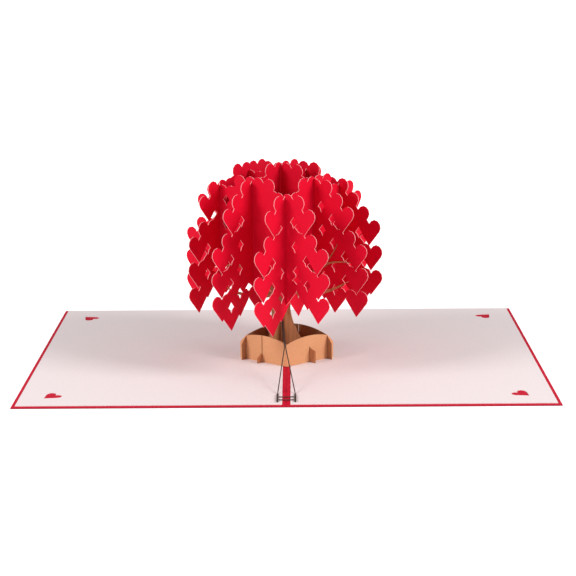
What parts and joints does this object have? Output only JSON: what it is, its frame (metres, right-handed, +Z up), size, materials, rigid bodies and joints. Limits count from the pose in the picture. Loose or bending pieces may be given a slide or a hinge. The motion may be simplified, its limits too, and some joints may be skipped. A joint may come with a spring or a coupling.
{
  "type": "pop up card",
  "caption": "Open pop-up greeting card: red cover, white pages and a slotted-card tree of red heart leaves on a kraft trunk that rises from a folded tray, with a pull thread on the spine.",
  "frame": {"origin": "middle of the open cover's underside, on the table", "axes": "+X across the open card from the left page to the right page, +Y along the spine away from the reader, +Z up"},
  "size_m": [0.3, 0.2, 0.1192],
  "materials": {
    "red_card": "matt red card",
    "white_paper": "matt white paper",
    "red_leaf_card": "matt red card, cut edges paler",
    "kraft_card": "matt brown kraft card",
    "brown_thread": "twisted dark brown thread"
  },
  "bodies": {
    "root": {"cover": "red_card", "leaves_a_back": "red_leaf_card", "leaves_a_front": "red_leaf_card", "leaves_a_middle": "red_leaf_card", "leaves_b_back": "red_leaf_card", "leaves_b_front": "red_leaf_card", "leaves_b_middle": "red_leaf_card", "liner_left": "white_paper", "liner_right": "white_paper", "pull_thread_left": "brown_thread", "pull_thread_right": "brown_thread", "thread_stitches": "brown_thread", "tray_back": "kraft_card", "tray_front": "kraft_card", "trunk_a": "kraft_card", "trunk_b": "kraft_card"}
  },
  "joints": []
}
